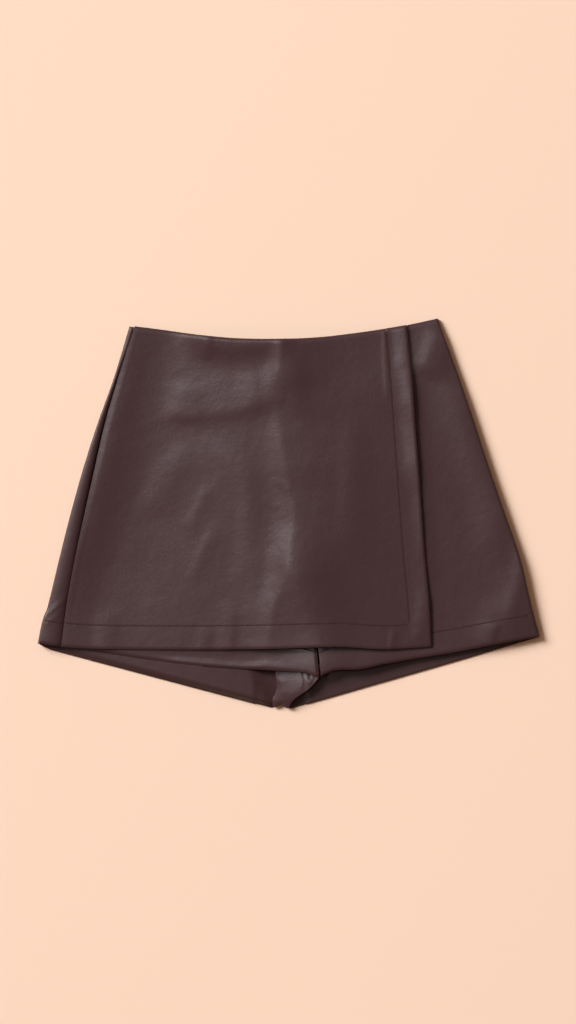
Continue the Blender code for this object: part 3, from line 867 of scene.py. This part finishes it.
short_rows = stitched_lines(SHORTS_LENGTH, HEM)[:, None]
near_seam = 1 - NEAR_SEAM[::-1] / LEFT_FRONT_WIDTH
left_columns = stretch(0, near_seam[0], LEFT_FRONT_WIDTH - NEAR_SEAM[-1])[:-1]
left_columns = np.concatenate([left_columns, near_seam])[None, :]
left_face = front_left_point(left_columns, short_rows)
left_wall = leg_wall(left_face, short_rows > 1, LEFT_LEG_HEM)
front_left = cloth_shell("front_left_cloth", left_face, left_wall, SHORTS_RIM, leather)
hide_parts("front_left")

# %% The right front
FOLD_STEPS = 14  # columns round a fold
RIGHT_FRONT_WIDTH = 215.0  # about, for the number of columns
UNDER_FOLD_WIDTH = 14.0  # the same for what lies under the right fold
SEAM_OPENS = 2.0  # how far the front seam gapes at the hem
SEAM_OPENS_Y = -146.0  # where it begins to
SEAM_OPENS_SOFTNESS = 4.0


def right_half_height(y):
    """Half the height of the right fold, where the right front's face begins to turn under."""
    section = section_at(y)
    return shorts_z(section.right_fold - section.radius, y) / 2


def front_right_point(column, row):
    """Columns go from 0 to 1 over the face, to 2 round the fold and to 3 along the surface."""
    turn = np.clip(column - 1, 0, 1) * pi

    def x_at(y, column):
        section = section_at(y)
        radius, fold = section.radius, section.right_fold
        opens = SEAM_GAP / 2 + SEAM_OPENS * soften(SEAM_OPENS_Y - y, SEAM_OPENS_SOFTNESS)
        face = between(seam_x(FRONT_SEAM, y) + opens, fold - radius, column)
        under = between(fold - radius, seam_x(UNDER_SEAM, y) + SEAM_GAP / 2, column - 2)
        around = fold - radius + radius * np.sin(turn)
        return np.where(column <= 1, face, np.where(column <= 2, around, under))

    def foot_at(x):
        return between(edge_y(RIGHT_LEG_HEM, x), straight_y(BACK_HEM, x), turn / pi)

    x, y = settle(x_at, lower_waist, foot_at, row, column)
    from_foot = y - foot_at(x)
    over = shorts_z(x, y) - rolled_edge(from_foot) + pressed_line(HEM - from_foot)
    z = np.where(column <= 1, over, right_half_height(y) * (1 + np.cos(turn)))
    return np.stack([x, y, z], axis=-1)


round_fold = 1 + np.arange(1, FOLD_STEPS + 1) / FOLD_STEPS
near_seam = NEAR_SEAM / RIGHT_FRONT_WIDTH
over_face = stretch(near_seam[-1], 1, RIGHT_FRONT_WIDTH - NEAR_SEAM[-1])[1:]
right_columns = [near_seam, over_face, round_fold, stretch(2, 3, UNDER_FOLD_WIDTH)[1:]]
right_columns = np.concatenate(right_columns)[None, :]
right_face = front_right_point(right_columns, short_rows)
over_wall = leg_wall(right_face, short_rows > 1, RIGHT_LEG_HEM)
right_wall = np.where(right_columns <= 1, over_wall, turned_wall(short_rows > 1, 0))
front_right = cloth_shell("front_right_cloth", right_face, right_wall, SHORTS_RIM, leather)
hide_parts("front_right")

# %% [markdown]
# ## The back
#
# The back is nearly all hidden: it shows as a narrow strip rolled over the left fold, and as the
# inside of the legs below the front hems. Underneath it is pressed flat, because the garment lies
# on it. A dark groove runs along the strip where it meets the side seam, deepest at the hip.

# %% The strip over the left fold
STRIP_RISE = 0.04  # how steeply the strip rises from the side seam to the left fold
STRIP_CROWN = 0.03  # how high it bulges between them, as a share of its width
STRIP_FADE = 3.0  # its creases die out over this distance from the side seam
HEM_FLARE = 2.0  # how far the strip's hem stands out beyond the fold above it
HEM_FLARE_Y, HEM_FLARE_START = -111.0, 2.2  # where that begins, and how gradually
HEM_FLARE_END_Y, HEM_FLARE_END = -138.0, 6.0  # and where it ends
SIDE_GROOVE_LEAST, SIDE_GROOVE_MOST = 0.9, 2.8  # depth of the groove by the side seam
SIDE_GROOVE_MIDDLE_Y, SIDE_GROOVE_REACH = 60.0, 80.0  # where it is deepest
SIDE_GROOVE_TOP_Y, SIDE_GROOVE_TOP = 170.0, 6.0  # where it ends near the waist, and how gradually
SIDE_GROOVE_WIDTH = 2.2


def left_half_height(y):
    """Half the height of the left fold. The strip beside it falls a little to the side seam."""
    section = section_at(y)
    return (seam_z(y) + STRIP_RISE * (section.side_seam - section.left_fold)) / 2


def side_groove(y):
    """How deep the dark groove along the left side seam is: nothing at the waist, deepest at the hip."""
    depth = between(SIDE_GROOVE_LEAST, SIDE_GROOVE_MOST, bump(y - SIDE_GROOVE_MIDDLE_Y, SIDE_GROOVE_REACH))
    return depth * soften(SIDE_GROOVE_TOP_Y - y, SIDE_GROOVE_TOP)


def hem_flare(y):
    """The strip's hem, which is stiffer, stands out a little beyond the folded edge above it."""
    starts = soften(HEM_FLARE_Y - y, HEM_FLARE_START)
    return HEM_FLARE * starts * soften(y - HEM_FLARE_END_Y, HEM_FLARE_END)


def strip_z(column, x, y, from_foot):
    """The height of the strip between the left fold and the side seam."""
    section = section_at(y)
    across = np.clip(3 - column, 0, 1)
    from_seam = section.side_seam - x
    strip = between(seam_z(y), 2 * left_half_height(y), across)
    strip += STRIP_CROWN * (section.side_seam - section.left_fold) * 4 * across * (1 - across)
    strip += pressed_line(HEM - from_foot) - rolled_edge(from_foot)
    strip += relief(STRIP_CREASES, x, y) * np.clip(from_seam / STRIP_FADE, 0, 1)
    return strip - side_groove(y) * np.exp(-np.maximum(from_seam, 0) / SIDE_GROOVE_WIDTH)


hip = np.array(SIDE_GROOVE_MIDDLE_Y)
print("height of the left fold at the hip:", round(2 * float(left_half_height(hip)), 1), "mm")

# %% The left back
FLOOR_PITCH = 2.5  # distance between columns on the surface
BACK_LEFT_WIDTH = 230.0  # about, for the number of columns
STRIP_WIDTH = 22.0  # the same for the strip
STRIP_PITCH = 1.4  # distance between its columns
STRIP_BY_SEAM = np.array((1.6, 1.1, 0.7, 0.35, 0.0))  # columns of the strip by the side seam
CENTRE_SINGLE = 0.1  # share of the width beside the centre seam where the hem isn't turned in
BACK_RESTS = 5.0  # the cloth rests on the surface up to this far above the hem
BACK_RESTS_SOFTNESS = 2.5


def resting(from_foot):
    """0 at the hem, which rests on the surface, and 1 further up, where the cloth may lift."""
    return bump(np.minimum(from_foot - BACK_RESTS, 0), BACK_RESTS_SOFTNESS)


def back_left_point(column, row):
    """Columns go from 0 to 1 along the surface, to 2 round the left fold and to 3 over the strip."""
    turn = np.clip(2 - column, 0, 1) * pi

    def x_at(y, column):
        section = section_at(y)
        radius, fold = section.radius, section.left_fold - hem_flare(y)
        floor = between(BACK_SEAM_X - SEAM_GAP / 2, fold + radius, column)
        strip = between(fold + radius, section.side_seam - SEAM_GAP / 2, column - 2)
        around = fold + radius - radius * np.sin(turn)
        return np.where(column <= 1, floor, np.where(column <= 2, around, strip))

    def foot_at(x):
        return between(edge_y(WRAP_HEM, x), straight_y(BACK_HEM, x), turn / pi)

    x, y = settle(x_at, lower_waist, foot_at, row, column)
    from_foot = y - foot_at(x)
    floor = relief(BACK_LEFT_CREASES, x, y) * resting(from_foot)
    around = left_half_height(y) * (1 + np.cos(turn))
    z = np.where(column >= 2, strip_z(column, x, y, from_foot), around)
    return np.stack([x, y, np.where(column <= 1, floor, z)], axis=-1)


floor_columns = stretch(0, 1, BACK_LEFT_WIDTH, FLOOR_PITCH)
strip_columns = stretch(2, 3, STRIP_WIDTH, STRIP_PITCH)[1:-2]
strip_columns = np.concatenate([strip_columns, 3 - STRIP_BY_SEAM / STRIP_WIDTH])
back_columns = np.concatenate([floor_columns, round_fold, strip_columns])[None, :]
# The strip's wall is thinned by one layer, down to the thinnest where the cloth is single.
turned_in = (short_rows > 1) & (back_columns > CENTRE_SINGLE)
back_wall = turned_wall(turned_in, np.where(back_columns > 2, CLOTH, 0))
back_left_face = back_left_point(back_columns, short_rows)
back_left = cloth_shell("back_left_cloth", back_left_face, back_wall, SHORTS_RIM, leather)
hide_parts("back_left")

# %% The right back
BACK_RIGHT_WIDTH = 220.0  # about, for the number of columns


def back_right_point(column, row):
    def x_at(y, column):
        return between(seam_x(UNDER_SEAM, y) - SEAM_GAP / 2, BACK_SEAM_X + SEAM_GAP / 2, column)

    x, y = settle(x_at, lower_waist, lambda x: straight_y(BACK_HEM, x), row, column)
    z = relief(BACK_RIGHT_CREASES, x, y) * resting(y - straight_y(BACK_HEM, x))
    return np.stack([x, y, z], axis=-1)


back_columns = stretch(0, 1, BACK_RIGHT_WIDTH, FLOOR_PITCH)[None, :]
back_wall = turned_wall((short_rows > 1) & (back_columns < 1 - CENTRE_SINGLE), 0)
back_right_face = back_right_point(back_columns, short_rows)
back_right = cloth_shell("back_right_cloth", back_right_face, back_wall, SHORTS_RIM, leather)
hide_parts("back_right")

# %% [markdown]
# ## The crotch
#
# Between the leg openings a short bridge of cloth joins front and back. It stands up from the
# surface, so it catches the light, and the openings beside it are dark. Each row of its table
# says where its two edges are and how high they stand, because both edges wander and no simple
# outline would follow them.

# %% The gusset between the legs
GussetRow = namedtuple("GussetRow", "x0 y0 x1 y1 left_z right_z arch")
GUSSET = (
    GussetRow(-16.0, -166.3, 34.5, -167.0, 4.4, 7.0, 0.2),
    GussetRow(-15.4, -176.3, 33.4, -180.0, 4.6, 8.3, 0.3),
    GussetRow(-13.8, -185.2, 29.5, -186.5, 4.8, 9.0, 0.5),
    GussetRow(-13.4, -193.0, 21.8, -194.6, 4.6, 9.0, 0.7),
    GussetRow(-15.5, -201.0, 11.8, -201.5, 4.2, 8.2, 0.7),
    GussetRow(-18.5, -208.0, 3.6, -208.0, 3.8, 6.8, 0.4),
    GussetRow(-17.6, -215.0, -0.6, -215.9, 3.0, 4.4, 0.2),
)
GUSSET_NOTCH = 3.0  # how far its foot is drawn up in the middle
GUSSET_SIZE = 50.0  # about, each way, for the number of lines
GUSSET_GRID = 1.2
GUSSET_RIM = Rim(top=0.2, right=1, foot=1, left=1)


def gusset_point(column, row):
    columns = list(zip(*GUSSET))
    here = GussetRow(*(smooth(range(len(GUSSET)), values, row) for values in columns))
    arch = np.sin(pi * column)
    notch = GUSSET_NOTCH * arch**3 * np.maximum(0, row - len(GUSSET) + 2)
    x, y = between(here.x0, here.x1, column), between(here.y0, here.y1, column) + notch
    z = between(here.left_z, here.right_z, column) + here.arch * arch + relief(GUSSET_CREASES, x, y)
    return np.stack([x, y, z], axis=-1)


gusset_rows = stretch(0, len(GUSSET) - 1, GUSSET_SIZE, GUSSET_GRID)[:, None]
gusset_columns = stretch(0, 1, GUSSET_SIZE, GUSSET_GRID)[None, :]
gusset_face = gusset_point(gusset_columns, gusset_rows)
gusset_wall = np.full(gusset_face.shape[:2], CLOTH)
gusset = cloth_shell("crotch_gusset_cloth", gusset_face, gusset_wall, GUSSET_RIM, leather)
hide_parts("crotch_gusset")

# %% [markdown]
# ## Stitching
#
# Every turned edge is held by one line of lockstitch in thread of the cloth's own colour. Here the
# thread is drawn much darker, as painted shade for the groove it lies in. A stitch is about 3 mm
# long, and its ends go down into the needle holes, so from a step away the line reads as a fine
# dark dotted groove. Each stitch is a short bent tube. All the stitches of a panel are one mesh,
# because no one will ever move a single one of them.

# %% Lines of stitches
STITCH = 3.0  # length of a stitch with the hole after it
STITCH_GAP = 0.5
THREAD_RADIUS = 0.23
THREAD_ASIDE = 0.1  # how far the thread lies beyond the groove's line, over the double cloth
THREAD_SIDES = 6
LINE_POINTS = 500  # points that a line of stitching is followed with
LINE_END = 0.995  # share of the way at which a line stops, short of a fold or a seam

# One row for each ring of a stitch: its place along the stitch, how thick the thread is there as
# a share of the whole, and how high it lies over the cloth.
StitchRing = namedtuple("StitchRing", "share size lift")
STITCH_RINGS = (
    StitchRing(0.0, 0.6, -0.28),
    StitchRing(0.15, 0.95, 0.02),
    StitchRing(0.5, 1.0, 0.08),
    StitchRing(0.85, 0.95, 0.02),
    StitchRing(1.0, 0.6, -0.28),
)


def surface_line(point, columns, rows):
    """Points along a line on a panel, and the face's normal at each."""
    step = 0.002
    here = point(columns, rows)
    right = point(columns + step, rows) - point(columns - step, rows)
    down = point(columns, rows + step) - point(columns, rows - step)
    normals = np.cross(right, -down)
    return here, normals / np.linalg.norm(normals, axis=1, keepdims=True)


def stitch_rings(line, normals):
    """Rings of points round each stitch along a line: stitches, rings, sides, xyz."""
    steps = np.linalg.norm(np.diff(line, axis=0), axis=1)
    at = np.concatenate([[0], np.cumsum(steps)])
    starts = np.arange(STITCH, at[-1] - STITCH, STITCH)
    share, size, lift = (np.array(values) for values in zip(*STITCH_RINGS))
    stations = starts[:, None] + share[None, :] * (STITCH - STITCH_GAP)
    centre = np.stack([np.interp(stations, at, line[:, k]) for k in range(3)], axis=-1)
    up = np.stack([np.interp(stations, at, normals[:, k]) for k in range(3)], axis=-1)
    along = centre[:, -1:] - centre[:, :1]
    across = np.cross(along / np.linalg.norm(along, axis=2, keepdims=True), up)
    centre = centre + up * lift[None, :, None]
    turn = 2 * pi * np.arange(THREAD_SIDES) / THREAD_SIDES
    radius = THREAD_RADIUS * size[None, :, None, None]
    ring = np.cos(turn)[:, None] * across[:, :, None, :] + np.sin(turn)[:, None] * up[:, :, None, :]
    return centre[:, :, None, :] + radius * ring


def stitches(name, lines):
    """One mesh of stitches along several lines."""
    rings = np.concatenate([stitch_rings(*line) for line in lines])
    count, per_stitch, sides = rings.shape[:3]
    ids = np.arange(count * per_stitch * sides).reshape(count, per_stitch, sides)
    a, b = ids[:, :-1], ids[:, 1:]
    walls = np.stack([b, np.roll(b, -1, axis=2), np.roll(a, -1, axis=2), a], axis=-1).reshape(-1, 4)
    caps = np.concatenate([ids[:, 0], ids[:, -1, ::-1]])
    print(name, "has", count, "stitches")
    return add_piece(name, rings.reshape(-1, 3), walls.tolist() + caps.tolist(), thread)


way = np.linspace(0, 1, LINE_POINTS)
on_line = np.full(LINE_POINTS, 1 + THREAD_ASIDE / HEM)
wrap_lines = [surface_line(wrap_point, way, on_line), surface_line(wrap_point, on_line, way)]
stitches("wrap_stitches", wrap_lines)
stitches("front_left_stitches", [surface_line(front_left_point, way, on_line)])
stitches("front_right_stitches", [surface_line(front_right_point, way * LINE_END, on_line)])
stitches("back_left_stitches", [surface_line(back_left_point, 2 + way * LINE_END, on_line)])

# %% [markdown]
# ## Floor, light and camera
#
# A flat-lay is lit by one big soft window to the side. A large area light low on the upper left
# does that, with a pale surrounding that keeps the shadows thin. A second lamp stands nearly
# overhead and shows only in reflections: it is the bright ceiling that gives level cloth its
# sheen, and it lights no surface, so the floor keeps one direction of shadow. The camera looks
# straight down from far enough that the garment isn't distorted, and its picture is 576 by 1024
# pixels.

# %% The backdrop
FLOOR = "#f8ddc8"
FLOOR_SIZE = 6.0
FLOOR_DROP = 0.0002  # the floor lies this much under the garment


def backdrop_paper():
    """Uncoated paper: matt, with hardly any mirror of its own."""
    material, tree, output = new_material("peach_backdrop_paper")
    shader = add_node(
        tree,
        "ShaderNodeBsdfPrincipled",
        {"Base Color": linear(FLOOR), "Roughness": 0.9, "Specular IOR Level": 0.2},
    )
    tree.links.new(shader.outputs["BSDF"], output.inputs["Surface"])
    return material


bpy.ops.mesh.primitive_plane_add(size=FLOOR_SIZE, location=(0, 0, -FLOOR_DROP))
floor = bpy.context.object
floor.name = "floor"
floor.data.materials.append(backdrop_paper())
print("floor:", FLOOR_SIZE, "m wide")

# %% The lamps and the room
Lamp = namedtuple("Lamp", "name place side watts colour")
WINDOW = Lamp("window", (-17.8, 11.3, 11.5), 9.5, 9850, "#fefeff")
SHEEN = Lamp("sheen", (-6.1, 5.75, 22.75), 5.5, 2020, "#f7f4fb")
ROOM_COLOUR = "#ffd3b2"
ROOM_WALLS, WALLS_TOP = 0.41, 0.55  # brightness up to this height of the view, 1 being overhead
ROOM_CEILING, CEILING_FROM = 0.065, 0.97  # and brightness from this height on
ROOM_FAR_SIDE, ROOM_NEAR_SIDE = 0.4, 1.6  # factors away from the window and towards it


def softbox(lamp):
    """A square area light that faces the garment."""
    light = bpy.data.lights.new(lamp.name, "AREA")
    light.shape = "SQUARE"
    light.size = lamp.side
    light.energy = lamp.watts
    light.color = linear(lamp.colour)[:3]
    holder = bpy.data.objects.new(lamp.name, light)
    holder.location = lamp.place
    holder.rotation_euler = (-Vector(lamp.place)).to_track_quat("-Z", "Y").to_euler()
    bpy.context.scene.collection.objects.link(holder)
    return holder


def pale_room():
    """Light walls round a darker ceiling, brightest towards the window and dim opposite it."""
    world = bpy.data.worlds.new("pale_room")
    world.use_nodes = True
    tree = world.node_tree
    direction = add_node(tree, "ShaderNodeTexCoord").outputs["Generated"]
    height = add_node(tree, "ShaderNodeSeparateXYZ", (), {"Vector": direction})
    levels = {"From Min": WALLS_TOP, "From Max": CEILING_FROM, "To Min": ROOM_WALLS, "To Max": ROOM_CEILING}
    strength = add_node(
        tree,
        "ShaderNodeMapRange",
        {"interpolation_type": "SMOOTHSTEP", **levels},
        {"Value": height.outputs["Z"]},
    )
    facing = add_node(tree, "ShaderNodeVectorMath", {"operation": "DOT_PRODUCT"}, {0: direction})
    facing.inputs[1].default_value = (*TOWARDS_LIGHT, 0)
    side = add_node(
        tree,
        "ShaderNodeMapRange",
        {"From Min": -1.0, "From Max": 1.0, "To Min": ROOM_FAR_SIDE, "To Max": ROOM_NEAR_SIDE},
        {"Value": facing.outputs["Value"]},
    )
    both = add_node(
        tree,
        "ShaderNodeMath",
        {"operation": "MULTIPLY"},
        {0: strength.outputs["Result"], 1: side.outputs["Result"]},
    )
    background = tree.nodes["Background"]
    background.inputs["Color"].default_value = linear(ROOM_COLOUR)
    tree.links.new(both.outputs["Value"], background.inputs["Strength"])
    return world


softbox(WINDOW)
softbox(SHEEN).visible_diffuse = False
bpy.context.scene.world = pale_room()
print("lamps:", WINDOW.watts, "W window,", SHEEN.watts, "W sheen")

# %% The camera
PICTURE_HEIGHT = 1024  # pixels
MM_PER_PIXEL = 1.11
PICTURE_CENTRE = (-1.3, 1.3)
CAMERA_HEIGHT = 4000.0
SENSOR = 36.0

bpy.context.scene.view_settings.view_transform = "Standard"
camera_data = bpy.data.cameras.new("camera")
camera_data.sensor_fit = "VERTICAL"
camera_data.sensor_height = SENSOR
camera_data.lens = SENSOR * CAMERA_HEIGHT / (PICTURE_HEIGHT * MM_PER_PIXEL)
camera = bpy.data.objects.new("camera", camera_data)
camera.location = (PICTURE_CENTRE[0] * MM, PICTURE_CENTRE[1] * MM, CAMERA_HEIGHT * MM)
bpy.context.scene.collection.objects.link(camera)
bpy.context.scene.camera = camera
print("lens:", round(camera_data.lens), "mm from", CAMERA_HEIGHT * MM, "m up")
